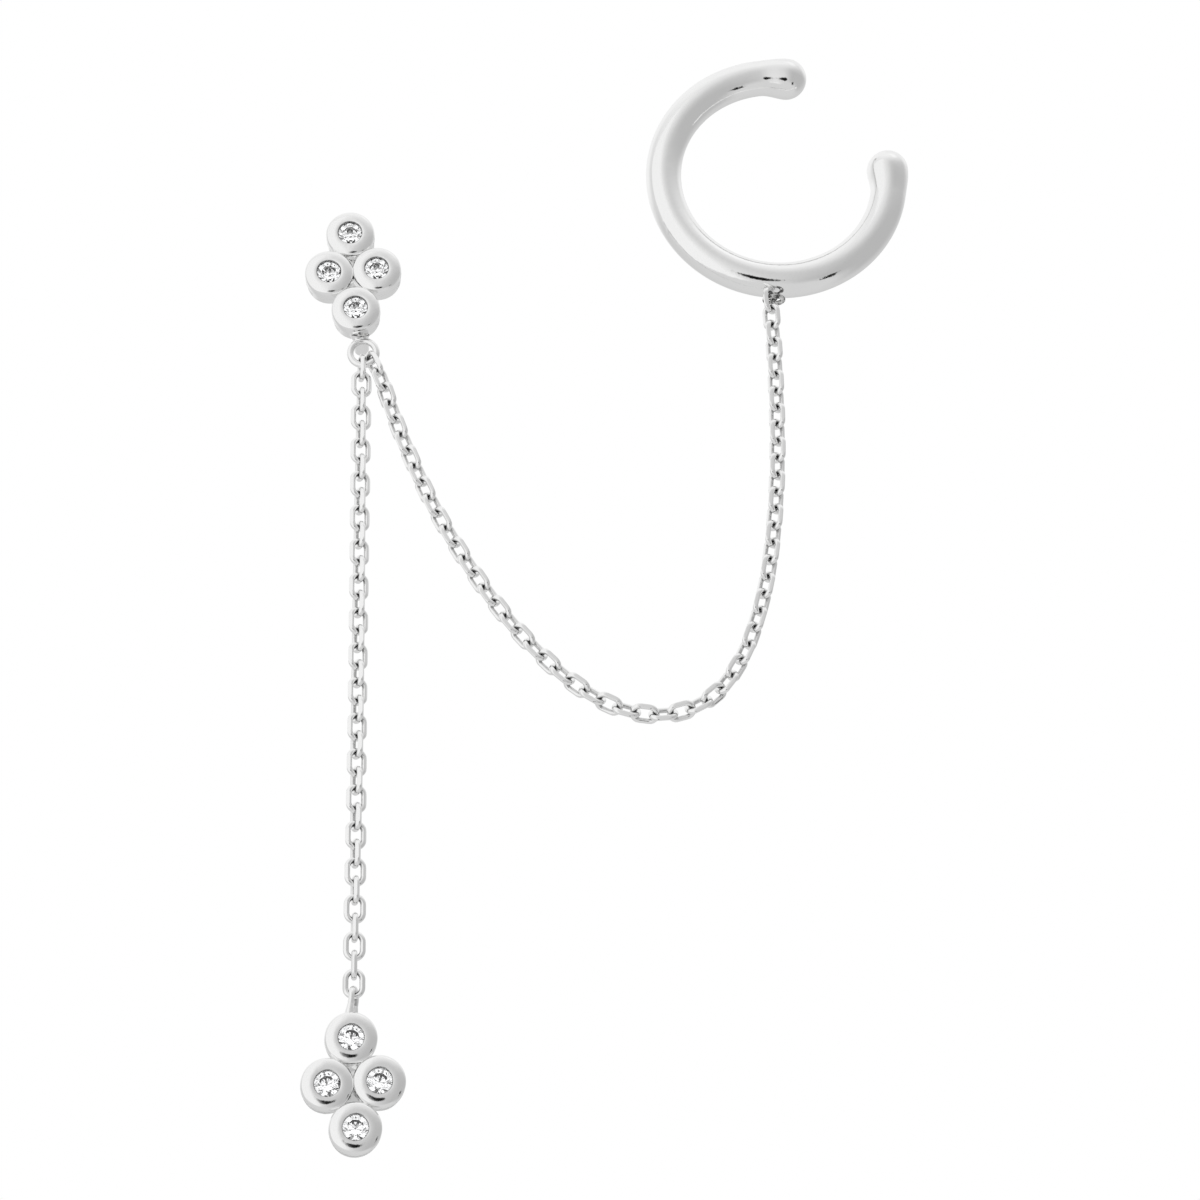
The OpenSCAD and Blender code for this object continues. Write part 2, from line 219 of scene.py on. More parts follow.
# Parts of the tent: left, right, bottom and top in degrees, how soft each of these is, and level
TENT_REGIONS = (
    (-85, -8, -32, 50, (30, 27, 22, 22), 0.86),
    (14, 122, -42, 24, (22, 26, 12, 18), 0.5),
    (-215, -105, 10, 88, (20, 20, 15, 4), 0.93),
    (105, 215, 25, 88, (20, 20, 15, 4), 0.9),
    (38, 76, 55, 82, (12, 12, 10, 6), 1.0),
)
# What the stones refract: bright cloth, and a shade, with its direction and radii in degrees
STONE_LIGHT = 1.4
SHADE_WAY = (3, -12)
SHADE_FULL_R, SHADE_OUTER_R = 8, 24
SHADE_LEVEL = 0.75

# Floor, and cards that the metal and the stones mirror, with their levels of grey and roughness
MATT = 0.9
FLOOR_MIDDLE = (12, 0, -120)
FLOOR_R, FLOOR_LEVEL = 3000, 0.85
LENS_R, LENS_LEVEL = 31, 0.004
PHOTOGRAPHER_R, PHOTOGRAPHER_LEVEL = 42, 0.25
# The share of a round card's radius from which it fades out
FADE_FROM = 0.6
DISC_STEPS = 64
# The stand's distance from the cuff, the directions of its two ends, and its half width
STAND_AWAY = 110
STAND_WAYS = ((43, -36), (53, -48))
STAND_HALF_WIDTH = 8
STAND_LEVEL = 0.02
# The white card's near and far edge as X and Y, its bottom and top, and how soft its edges are
WHITE_CARD_LEVEL = 0.92
WHITE_CARD_SIDES = ((5, -71), (-110, -10))
WHITE_CARD_HEIGHTS = (-100, 100)
WHITE_CARD_SOFT = 12

# Sockets of a Mix node that blends colours
MIX_FACTOR, MIX_UNDER, MIX_OVER, MIX_RESULT = 0, 6, 7, 2


def group_input(tree, name, kind, value=None, low=None, high=None):
    """A named input on a node group, with its start value and limits."""
    socket = tree.interface.new_socket(name, in_out="INPUT", socket_type=kind)
    if value is not None:
        socket.default_value = value
    if low is not None:
        socket.min_value = low
    if high is not None:
        socket.max_value = high
    return socket


def maths(tree, operation, a, b=None):
    """One Math node, whose inputs are numbers or other nodes' outputs."""
    node = tree.nodes.new("ShaderNodeMath")
    node.operation = operation
    for socket, value in zip(node.inputs, (a, b)):
        if value is None:
            continue
        if isinstance(value, (int, float)):
            socket.default_value = value
        else:
            tree.links.new(value, socket)
    return node.outputs[0]


def ramp(tree, value, start, end, low=0.0, high=1.0):
    """A soft step from one value to another. It may run downward."""
    node = tree.nodes.new("ShaderNodeMapRange")
    node.interpolation_type = "SMOOTHSTEP"
    tree.links.new(value, node.inputs["Value"])
    for name, number in (("From Min", start), ("From Max", end), ("To Min", low), ("To Max", high)):
        node.inputs[name].default_value = number
    return node.outputs["Result"]


def mixed(tree, factor, under, over):
    """Blends two colours, each a triple of numbers or another node's output."""
    node = tree.nodes.new("ShaderNodeMix")
    node.data_type = "RGBA"
    sockets = (node.inputs[MIX_FACTOR], node.inputs[MIX_UNDER], node.inputs[MIX_OVER])
    for socket, value in zip(sockets, (factor, under, over)):
        if isinstance(value, tuple):
            socket.default_value = (*value, 1)
        elif isinstance(value, (int, float)):
            socket.default_value = value
        else:
            tree.links.new(value, socket)
    return node.outputs[MIX_RESULT]


def eased(t):
    """A soft step from 0 to 1, and level beyond both ends."""
    t = min(1, max(0, t))
    return t * t * (3 - 2 * t)


# Materials


def noise(tree, scale, detail):
    """Noise over the object's own coordinates. The scale is a number or an output."""
    place = tree.nodes.new("ShaderNodeTexCoord")
    node = tree.nodes.new("ShaderNodeTexNoise")
    node.inputs["Detail"].default_value = detail
    tree.links.new(place.outputs["Object"], node.inputs["Vector"])
    if isinstance(scale, (int, float)):
        node.inputs["Scale"].default_value = scale
    else:
        tree.links.new(scale, node.inputs["Scale"])
    return node.outputs["Fac"]


def silver_wear_and_shade_group():
    """Hand-polished silver: broad unevenness, hairlines, tarnish in patches, and shade painted in
    recesses.
    """
    tree = bpy.data.node_groups.new("silver_wear_and_painted_shade", "ShaderNodeTree")
    for name, kind, value in FINISH_INPUTS:
        group_input(tree, name, kind, value)
    tree.interface.new_socket("Color", in_out="OUTPUT", socket_type="NodeSocketColor")
    tree.interface.new_socket("Roughness", in_out="OUTPUT", socket_type="NodeSocketFloat")
    tree.interface.new_socket("Height", in_out="OUTPUT", socket_type="NodeSocketFloat")
    nodes, links = tree.nodes, tree.links
    given = nodes.new("NodeGroupInput").outputs
    result = nodes.new("NodeGroupOutput").inputs
    wave = noise(tree, given["Wave Scale"], WAVE_DETAIL)
    hair = noise(tree, given["Hairline Scale"], HAIRLINE_DETAIL)
    # Each point's share of painted shade, as the shapes stored it
    depth = nodes.new("ShaderNodeAttribute")
    depth.attribute_name = "painted_shade"
    uneven = maths(tree, "MULTIPLY", maths(tree, "SUBTRACT", hair, 0.5), PAINTED_SHADE_UNEVEN)
    # Shade is painted in hollows, its edge broken up by the hairline noise
    shade_mask = ramp(tree, maths(tree, "ADD", depth.outputs["Fac"], maths(
        tree, "MULTIPLY", uneven, depth.outputs["Fac"])), PAINTED_SHADE_START, PAINTED_SHADE_FULL)
    colour = mixed(tree, wave, given["Metal"], given["Tarnish"])
    links.new(mixed(tree, shade_mask, colour, given["Painted Shade"]), result["Color"])
    spread = nodes.new("ShaderNodeMapRange")
    links.new(hair, spread.inputs["Value"])
    links.new(given["Low Roughness"], spread.inputs["To Min"])
    links.new(given["High Roughness"], spread.inputs["To Max"])
    links.new(maths(tree, "ADD", spread.outputs["Result"], maths(
        tree, "MULTIPLY", shade_mask, PAINTED_SHADE_ROUGHNESS)), result["Roughness"])
    links.new(maths(tree, "ADD", maths(tree, "MULTIPLY", wave, WAVE_RELIEF), maths(
        tree, "MULTIPLY", hair, HAIRLINE_RELIEF)), result["Height"])
    return tree


def silver(name, group, tarnish, painted_shade, wave, hairline, roughness, bump):
    """Bright silver with its own setting of the shared finish, including the grey of the shade
    painted in its hollows.
    """
    material = bpy.data.materials.new(name)
    material.use_nodes = True
    nodes, links = material.node_tree.nodes, material.node_tree.links
    shader = nodes["Principled BSDF"]
    shader.inputs["Metallic"].default_value = 1.0
    finish = nodes.new("ShaderNodeGroup")
    finish.node_tree = group
    values = {"Tarnish": (*(tarnish,) * 3, 1), "Painted Shade": (*(painted_shade,) * 3, 1), "Wave Scale": wave,
              "Hairline Scale": hairline, "Low Roughness": roughness[0],
              "High Roughness": roughness[1]}
    for key, value in values.items():
        finish.inputs[key].default_value = value
    relief = nodes.new("ShaderNodeBump")
    relief.inputs["Strength"].default_value = 1.0
    relief.inputs["Distance"].default_value = bump
    links.new(finish.outputs["Color"], shader.inputs["Base Color"])
    links.new(finish.outputs["Roughness"], shader.inputs["Roughness"])
    links.new(finish.outputs["Height"], relief.inputs["Height"])
    links.new(relief.outputs["Normal"], shader.inputs["Normal"])
    return material


def solder():
    """Rough, pitted solder with burnt spots."""
    material = bpy.data.materials.new("solder")
    material.use_nodes = True
    tree = material.node_tree
    shader = tree.nodes["Principled BSDF"]
    shader.inputs["Metallic"].default_value = 1.0
    pits = noise(tree, PIT_SCALE, PIT_DETAIL)
    tree.links.new(mixed(tree, ramp(tree, pits, *PIT_EDGES), SOLDER_BURNT, SOLDER_CLEAN),
                   shader.inputs["Base Color"])
    tree.links.new(ramp(tree, pits, *SHINE_EDGES, SOLDER_PITTED, SOLDER_SMOOTH),
                   shader.inputs["Roughness"])
    relief = tree.nodes.new("ShaderNodeBump")
    relief.inputs["Distance"].default_value = PIT_RELIEF
    tree.links.new(pits, relief.inputs["Height"])
    tree.links.new(relief.outputs["Normal"], shader.inputs["Normal"])
    return material


def clear_stone():
    """A clear cut stone with a high refractive index and a faint veil."""
    material = bpy.data.materials.new("clear_cut_stone")
    material.use_nodes = True
    tree = material.node_tree
    shader = tree.nodes["Principled BSDF"]
    shader.inputs["Transmission Weight"].default_value = 1.0
    shader.inputs["IOR"].default_value = STONE_IOR
    shader.inputs["Roughness"].default_value = 0.0
    tree.links.new(mixed(tree, noise(tree, VEIL_SCALE, VEIL_DETAIL), STONE_CLEAR, STONE_VEIL),
                   shader.inputs["Base Color"])
    return material


# Each silver is given the grey of the shade painted in its hollows, beside its tarnish
SILVER_WEAR_AND_SHADE = silver_wear_and_shade_group()
CAST_SILVER = silver("cast_silver", SILVER_WEAR_AND_SHADE, tarnish=0.92, painted_shade=0.15, wave=1100.0,
                     hairline=6000.0, roughness=(0.05, 0.13), bump=0.00002)
CUFF_SILVER = silver("cuff_silver", SILVER_WEAR_AND_SHADE, tarnish=0.92, painted_shade=0.05, wave=450.0,
                     hairline=5000.0, roughness=(0.05, 0.11), bump=0.00003)
CHAIN_SILVER = silver("chain_silver", SILVER_WEAR_AND_SHADE, tarnish=0.93, painted_shade=0.2, wave=1500.0,
                      hairline=8000.0, roughness=(0.04, 0.12), bump=0.000002)
SOLDER = solder()
STONE = clear_stone()


# Shapes, in millimetres


class Shape:
    """Points and faces that are gathered in millimetres and made one mesh."""

    def __init__(self):
        self.points = []
        self.faces = []
        self.painted_shade = []

    def add(self, points, faces, place=None, painted_shade=None):
        """Adds a form. The last argument tells how much shade is painted on a point, by how far it
        lies in a hollow before it is placed.
        """
        start = len(self.points)
        for p in points:
            self.points.append(place @ Vector(p) if place else Vector(p))
            self.painted_shade.append(painted_shade(Vector(p)) if painted_shade else 0.0)
        self.faces += [[start + i for i in face] for face in faces]

    def made(self, name, material, smooth=True):
        """Makes the mesh in metres, with one material and each point's painted shade, and links it
        to the scene.
        """
        mesh = bpy.data.meshes.new(name)
        mesh.from_pydata([p * MM for p in self.points], [], self.faces)
        depth = mesh.attributes.new("painted_shade", "FLOAT", "POINT")
        depth.data.foreach_set("value", self.painted_shade)
        bm = bmesh.new()
        bm.from_mesh(mesh)
        bmesh.ops.remove_doubles(bm, verts=bm.verts, dist=MERGED)
        bmesh.ops.recalc_face_normals(bm, faces=bm.faces)
        bm.to_mesh(mesh)
        bm.free()
        mesh.polygons.foreach_set("use_smooth", [smooth] * len(mesh.polygons))
        if smooth:
            mesh.set_sharp_from_angle(angle=SHARP_EDGE)
        mesh.materials.append(material)
        piece = bpy.data.objects.new(name, mesh)
        bpy.context.scene.collection.objects.link(piece)
        return piece


def arc(middle, r, start, end, steps):
    """Points of an arc in a plane, from one angle to another."""
    angles = [start + (end - start) * i / steps for i in range(steps + 1)]
    return [(middle[0] + r * math.cos(a), middle[1] + r * math.sin(a)) for a in angles]


def turned_form(outline, steps=AROUND):
    """A form turned on the lathe from (radius, height) pairs. Its first and last radius are 0."""
    points = [(0, 0, outline[0][1])]
    for r, h in outline[1:-1]:
        points += [(r * math.cos(2 * math.pi * k / steps), r * math.sin(2 * math.pi * k / steps), h)
                   for k in range(steps)]
    points.append((0, 0, outline[-1][1]))
    rows = len(outline) - 2
    faces = [(0, 1 + (k + 1) % steps, 1 + k) for k in range(steps)]
    for row in range(rows - 1):
        low, high = 1 + row * steps, 1 + (row + 1) * steps
        faces += [(low + k, low + (k + 1) % steps, high + (k + 1) % steps, high + k)
                  for k in range(steps)]
    last, top = 1 + (rows - 1) * steps, len(points) - 1
    faces += [(last + k, last + (k + 1) % steps, top) for k in range(steps)]
    return points, faces


def wire(path, radii, closed, sides=24, up=(0, 1, 0)):
    """Round wire along a path. Its thickness may change, and an open wire has flat ends."""
    n = len(path)
    spots = [Vector(p) for p in path]
    points, faces = [], []
    for i in range(n):
        before = spots[(i - 1) % n] if closed or i else spots[i]
        after = spots[(i + 1) % n] if closed or i < n - 1 else spots[i]
        along = (after - before).normalized()
        side = Vector(up).cross(along).normalized()
        top = along.cross(side)
        for k in range(sides):
            a = 2 * math.pi * k / sides
            points.append(spots[i] + radii[i] * (side * math.cos(a) + top * math.sin(a)))
    for i in range(n if closed else n - 1):
        low, high = i * sides, (i + 1) % n * sides
        faces += [(low + k, low + (k + 1) % sides, high + (k + 1) % sides, high + k)
                  for k in range(sides)]
    if not closed:
        faces.append(list(range(sides))[::-1])
        faces.append([(n - 1) * sides + k for k in range(sides)])
    return points, faces


FACING_FRONT = Matrix.Rotation(math.pi / 2, 4, "X")


def lip_outline():
    """Lip from its side to the aperture: round shoulder, gently domed front and small edge."""
    quarter = math.pi / 2
    lean = quarter + LIP_INNER
    edge_x = APERTURE_R + LIP_EDGE
    crest_r = edge_x + (LIP_EDGE - LIP_FRONT_R) * math.cos(lean)
    shoulder_r = ((BEZEL_R - crest_r - LIP_FRONT_R * math.sin(LIP_FRONT))
                  / (1 - math.sin(LIP_FRONT)))
    front = (crest_r, BEZEL_DEPTH - LIP_FRONT_R)
    reach = LIP_FRONT_R - shoulder_r
    shoulder = (front[0] + reach * math.sin(LIP_FRONT), front[1] + reach * math.cos(LIP_FRONT))
    edge = (edge_x, front[1] + (LIP_FRONT_R - LIP_EDGE) * math.sin(lean))
    return (arc(shoulder, shoulder_r, 0, quarter - LIP_FRONT, SHOULDER_STEPS)
            + arc(front, LIP_FRONT_R, quarter - LIP_FRONT, lean, FRONT_STEPS)[1:]
            + arc(edge, LIP_EDGE, lean, 2 * quarter, EDGE_STEPS)[1:])


def bezel_outline():
    """Half outline of a bezel: eased base, step, side, lip, aperture and seat."""
    base_r = BEZEL_R - BASE_STEP
    seat_r = STONE_R + SEAT_GAP
    apex = GIRDLE_H - GIRDLE_T - STONE_R * math.tan(PAVILION_ANGLE) - SEAT_GAP
    quarter = math.pi / 2
    return ([(0, 0)]
            + arc((base_r - EASE, EASE), EASE, -quarter, 0, BASE_ARC)
            + [(base_r, BASE_H - EASE)]
            + arc((BEZEL_R - EASE, BASE_H + EASE), EASE, -quarter, 0, SIDE_ARC)
            + lip_outline()
            + [(APERTURE_R, GIRDLE_H + SEAT_GAP + APERTURE_R * SEAT_SLOPE),
               (seat_r, GIRDLE_H + SEAT_GAP), (seat_r, GIRDLE_H - GIRDLE_T - SEAT_GAP),
               (0, apex)])


def bezel_places(prefix):
    """Middles of a setting's four bezels at their backs, before the setting is turned."""
    places = []
    for spot in SPOTS:
        low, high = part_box(f"{prefix}_stone_{spot}")
        middle = group_turn(prefix).inverted() @ ((low + high) / 2 / MM)
        places.append(Vector((middle.x, 0, middle.z)))
    return places


def group_turn(prefix):
    """How a setting is turned about its own upright line. Only the pendant's is."""
    if prefix == "stud":
        return Matrix.Identity(4)
    line = Vector(PENDANT_LINE)
    return (Matrix.Translation(line) @ Matrix.Rotation(PENDANT_FACE, 4, "Z")
            @ Matrix.Translation(-line))


def aperture_painted_shade(p):
    """Shade painted on a bezel's point: behind its lip, and down the lip's edge beside the stone.
    """
    r = math.hypot(p.x, p.y)
    if STONE_R < r < SEAT_REACH and p.z < GIRDLE_H + 2 * SEAT_GAP:
        return SEAT_PAINTED_SHADE
    if r > APERTURE_R + LIP_EDGE or p.z < GIRDLE_H:
        return 0.0
    return min(APERTURE_PAINTED_SHADE, APERTURE_RISE * (APERTURE_R + LIP_EDGE - r) / LIP_EDGE)


def add_bezels(shape, prefix):
    """Adds a setting's four bezels and the solder between them."""
    form = turned_form(bezel_outline())
    for place in bezel_places(prefix):
        shape.add(*form, group_turn(prefix) @ Matrix.Translation(place) @ FACING_FRONT, aperture_painted_shade)
    add_web(shape, prefix)


def add_web(shape, prefix):
    """Solder that fills the two gaps between the bezels, well below their lips."""
    top, left, right, bottom = bezel_places(prefix)
    middle = (top + bottom) / 2
    for tip in (top, bottom):
        corners = [middle + (p - middle) * WEB_SIDE for p in (left, right)]
        corners.append(middle + (tip - middle) * WEB_TIP)
        points = [Vector((p.x, -WEB_BACK, p.z)) for p in corners]
        points += [Vector((p.x, -front, p.z)) for p, front in zip(corners, WEB_FRONT)]
        shape.add(points, [(0, 1, 2), (5, 4, 3), (0, 3, 4, 1), (1, 4, 5, 2), (2, 5, 3, 0)],
                  group_turn(prefix))


def ring_painted_shade(middle, r, wire_d, depth):
    """Shade painted on a ring's wire as far as a point faces the ring's middle, up to a depth."""
    def facing(p):
        """The share for one point."""
        return depth * min(1, max(0, (r - (p - Vector(middle)).length) / (wire_d / 2)))
    return facing


def lump(place, away, sizes, seed):
    """A lump of solder with its half sizes along X, Y and Z, away from a place."""
    middle = Vector(place) + Vector(away)
    steps = LUMP_STEPS
    points, faces = [], []
    for i in range(steps // 2 + 1):
        for k in range(steps):
            a, e = 2 * math.pi * k / steps, math.pi * (i / (steps // 2) - 0.5)
            out = Vector((math.cos(a) * math.cos(e), math.sin(a) * math.cos(e), math.sin(e)))
            swell = 1 + LUMP_UNEVEN * mathutils_noise.noise(
                out * LUMP_SCALE + Vector((seed, 0, 0)))
            points.append(middle + swell * Vector(
                (out.x * sizes[0], out.y * sizes[1], out.z * sizes[2])))
    for i in range(steps // 2):
        low, high = i * steps, (i + 1) * steps
        faces += [(low + k, low + (k + 1) % steps, high + (k + 1) % steps, high + k)
                  for k in range(steps)]
    return points, faces


def ring_path(middle, r, across, upward, steps):
    """Points of a round ring from its middle and two directions in its plane."""
    return [Vector(middle) + r * (math.cos(a) * Vector(across) + math.sin(a) * Vector(upward))
            for a in (2 * math.pi * k / steps for k in range(steps))]


def add_bar(shape, start, end, profile):
    """A round bar from one place to another, with (share of the way, radius) pairs."""
    run = Vector(end) - Vector(start)
    turn = run.to_track_quat("Z", "Y").to_matrix().to_4x4()
    outline = ([(0, profile[0][0] * run.length)] + [(r, s * run.length) for s, r in profile]
               + [(0, profile[-1][0] * run.length)])
    shape.add(*turned_form(outline, BAR_AROUND), Matrix.Translation(Vector(start)) @ turn)


def stud():
    """Four bezels, the pad at the back, the neck with its lump of solder, and the ring."""
    shape = Shape()
    add_bezels(shape, "stud")
    pad = ([(0, 0)] + arc((PAD_D / 2 - EASE, EASE), EASE, -math.pi / 2, 0, PAD_ARC)
           + [(PAD_D / 2, PAD_T), (0, PAD_T)])
    shape.add(*turned_form(pad, PAD_AROUND), FACING_FRONT)
    lowest = bezel_places("stud")[SPOTS.index("bottom")]
    top = Vector((lowest.x, CHAIN_Y, lowest.z))
    ring_middle = Vector((RING_MIDDLE[0], CHAIN_Y, RING_MIDDLE[1]))
    lean = (ring_middle - top).normalized()
    add_bar(shape, top + lean * (BEZEL_R - SUNK), ring_middle - lean * (RING_D / 2),
            [(share, NECK_D / 2 + added) for share, added in NECK_FLARE])
    side = Vector((-lean.z, 0, lean.x))
    ring = ring_path(ring_middle, RING_D / 2, side, lean, RING_STEPS)
    # Shade is painted on the inside of the ring
    shape.add(*wire(ring, [RING_WIRE / 2] * RING_STEPS, True),
              painted_shade=ring_painted_shade(ring_middle, RING_D / 2, RING_WIRE, RING_PAINTED_SHADE))
    drops = Shape()
    drops.add(*lump(top + lean * (BEZEL_R + NECK_SOLDER_DOWN), *NECK_SOLDER))
    burnt = drops.made("stud_solder", SOLDER)
    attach(burnt, "worn")
    piece = shape.made("stud_bezels_and_ring", CAST_SILVER)
    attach(piece, "worn")
    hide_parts("stud_setting")


def post():
    """Plain round post with a rounded tip."""
    low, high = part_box("ear_post")
    length = (high.y - low.y) / MM
    r = POST_D / 2
    outline = [(0, 0), (r, 0)] + arc((0, length - r), r, 0, math.pi / 2, TIP_STEPS)
    outline[-1] = (0, length)
    shape = Shape()
    shape.add(*turned_form(outline, BAR_AROUND), Matrix.Rotation(-math.pi / 2, 4, "X"))
    piece = shape.made("post", CAST_SILVER)
    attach(piece, "worn")
    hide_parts("ear_post")


def cuff():
    """The cuff's round wire, which swells towards its two round ends."""
    middle = Vector(CUFF_MIDDLE)
    path, radii = [], []

    def swelling(way):
        """How much the wire is swollen at a way from its end: 1 at the end, 0 further on."""
        return 1 - eased(way / CUFF_SWELL)

    def on_arc(a, way=0.0):
        """The wire's middle at an angle."""
        return middle + (CUFF_R - CUFF_END_IN * swelling(way)) * Vector(
            (math.cos(a), 0, math.sin(a)))

    start, end = CUFF_UPPER, CUFF_LOWER + 2 * math.pi
    back = Vector((math.sin(start), 0, -math.cos(start)))
    ahead = Vector((-math.sin(end), 0, math.cos(end)))
    cap = [math.pi / 2 * i / CAP_STEPS * CAP_REACH for i in range(1, CAP_STEPS + 1)]
    for a in reversed(cap):
        path.append(on_arc(start) + back * CUFF_END_R * math.sin(a))
        radii.append(CUFF_END_R * math.cos(a))
    for i in range(CUFF_STEPS + 1):
        a = start + (end - start) * i / CUFF_STEPS
        way = min(a - start, end - a) * CUFF_R
        path.append(on_arc(a, way))
        radii.append(CUFF_WIRE_R + (CUFF_END_R - CUFF_WIRE_R) * swelling(way))
    for a in cap:
        path.append(on_arc(end) + ahead * CUFF_END_R * math.sin(a))
        radii.append(CUFF_END_R * math.cos(a))
    shape = Shape()
    shape.add(*wire(path, radii, False, CUFF_AROUND))
    piece = shape.made("cuff_and_ends", CUFF_SILVER)
    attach(piece, "worn")
    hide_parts("ear_cuff")


def eyelet():
    """The small lying eyelet and the rough solder that holds it under the cuff."""
    middle = Vector(EYELET_MIDDLE)
    foot = middle + Vector((0, EYELET_R, 0))
    shape = Shape()
    ring = ring_path(middle, EYELET_R, (1, 0, 0), (0, 1, 0), EYELET_STEPS)
    shape.add(*wire(ring, [EYELET_WIRE / 2] * EYELET_STEPS, True, EYELET_AROUND, (0, 0, 1)))
    add_bar(shape, foot, foot + Vector((0, 0, EYELET_BAR_H + SUNK)), EYELET_BAR)
    shape.add(*lump(foot, *EYELET_SOLDER))
    piece = shape.made("eyelet_and_solder", SOLDER)
    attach(piece, "worn")


def pendant():
    """Four bezels, and the round-wire loop whose two legs flare on the top one."""
    shape = Shape()
    add_bezels(shape, "drop")
    crown_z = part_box("drop_setting")[1].z / MM
    top = bezel_places("drop")[SPOTS.index("top")]
    turn = group_turn("drop")
    loop_r = LOOP_INSIDE / 2 + LOOP_WIRE / 2
    hinge_x = frame["joints"][0]["pos_m"][0] / MM
    middle = Vector((hinge_x, CHAIN_Y, crown_z - LOOP_WIRE / 2 - loop_r))
    foot_z = top.z + BEZEL_R - SUNK
    out = Vector((-math.sin(LOOP_TURN), math.cos(LOOP_TURN), 0))
    side = Vector((math.cos(LOOP_TURN), math.sin(LOOP_TURN), 0))

    def inner(p):
        """How much shade is painted on a point of the loop, as it faces the loop's inside."""
        off = p - middle
        r = math.hypot(off.dot(out), max(0, off.z))
        return LOOP_PAINTED_SHADE * min(1, max(0, (loop_r - r) / (LOOP_WIRE / 2)))

    def leg(away):
        """Points of one leg, from the bend down to the top bezel."""
        return [Vector((hinge_x + (top.x - hinge_x) * eased(t), CHAIN_Y,
                        middle.z + (foot_z - middle.z) * t)) + out * away
                for t in (k / LEG_STEPS for k in range(1, LEG_STEPS + 1))]

    bend = [middle + loop_r * (math.sin(a) * Vector((0, 0, 1)) - math.cos(a) * out)
            for a in (math.pi * k / BEND_STEPS for k in range(BEND_STEPS + 1))]
    legs = (leg(-loop_r), leg(loop_r))
    path = legs[0][::-1] + bend + legs[1]
    # Shade is painted on the inside of the loop
    shape.add(*wire(path, [LOOP_WIRE / 2] * len(path), False, LOOP_AROUND, side), turn, inner)
    for points in legs:
        add_bar(shape, turn @ points[-1], turn @ points[FOOT_END], FOOT_FLARE)
    piece = shape.made("pendant_bezels_and_loop", CAST_SILVER)
    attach(piece, "pendant")
    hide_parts("drop_setting")


def brilliant():
    """Round brilliant with its girdle's upper edge at 0."""
    step = math.pi / 8
    r, table_r = STONE_R, STONE_R * TABLE_SHARE
    crown_h = (r - table_r) * math.tan(CROWN_ANGLE)
    star_r = (table_r + r) / 2
    star_h = crown_h * (r - star_r * math.cos(step)) / (r - table_r)
    half_r = r * HALVES_SHARE
    depth = r * math.tan(PAVILION_ANGLE)
    half_h = depth * (1 - half_r * math.cos(step) / r)

    def spot(rad, k, z):
        """A corner at a radius, a sixteenth of a turn and a height."""
        return (rad * math.cos(step * k), rad * math.sin(step * k), z)

    points = ([spot(table_r, 2 * i, crown_h) for i in range(8)]
              + [spot(star_r, 2 * i + 1, star_h) for i in range(8)]
              + [spot(r, k, 0) for k in range(16)]
              + [spot(r, k, -GIRDLE_T) for k in range(16)]
              + [spot(half_r, 2 * i + 1, -GIRDLE_T - half_h) for i in range(8)]
              + [(0, 0, -GIRDLE_T - depth)])
    faces = [list(range(8))]
    for i in range(8):
        t0, t1, s, s1 = i, (i + 1) % 8, 8 + i, 8 + (i + 1) % 8
        u0, u1, u2 = 16 + 2 * i, 17 + 2 * i, 16 + (2 * i + 2) % 16
        l0, l1, l2 = u0 + 16, u1 + 16, u2 + 16
        h, h1 = 48 + i, 48 + (i + 1) % 8
        faces += [(t0, s, t1), (s, u0, u1), (s, u1, u2), (t1, s, u2, s1),
                  (u0, l0, l1, u1), (u1, l1, l2, u2), (l0, h, l1), (l1, h, l2), (l2, h1, 56, h)]
    return points, faces


def stones(prefix, body, turns, tilts):
    """The four stones of a setting, each turned and slightly tipped its own way in its seat."""
    form = brilliant()
    for spot, place, turn, tilt in zip(SPOTS, bezel_places(prefix), turns, tilts):
        shape = Shape()
        lift = (group_turn(prefix) @ Matrix.Translation(place) @ FACING_FRONT
                @ Matrix.Translation((0, 0, GIRDLE_H)))
        tip = (Matrix.Rotation(math.radians(tilt[0]), 4, "X")
               @ Matrix.Rotation(math.radians(tilt[1]), 4, "Y"))
        shape.add(*form, lift @ tip @ Matrix.Rotation(math.radians(turn), 4, "Z"))
        piece = shape.made(f"{prefix}_brilliant_{spot}", STONE, smooth=False)
        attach(piece, body)
        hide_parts(f"{prefix}_stone_{spot}")


# Chains


def link_spots(node):
    """Middle and directions of each link that the CAD chain holds, read from its own mesh."""
    mesh = frame["nodes"][node].data
    bm = bmesh.new()
    bm.from_mesh(mesh)
    bmesh.ops.remove_doubles(bm, verts=bm.verts, dist=LINK_MERGED)
    bm.verts.index_update()
    seen, spots = set(), []
    for first in bm.verts:
        if first.index in seen:
            continue
        stack, group = [first], []
        seen.add(first.index)
        while stack:
            vert = stack.pop()
            group.append(vert.co[:])
            for edge in vert.link_edges:
                other = edge.other_vert(vert)
                if other.index not in seen:
                    seen.add(other.index)
                    stack.append(other)
        points = np.array(group)
        middle = points.mean(0)
        _, _, axes = np.linalg.svd(points - middle, full_matrices=False)
        spots.append((middle, axes[0], axes[1]))
    bm.free()
    return spots


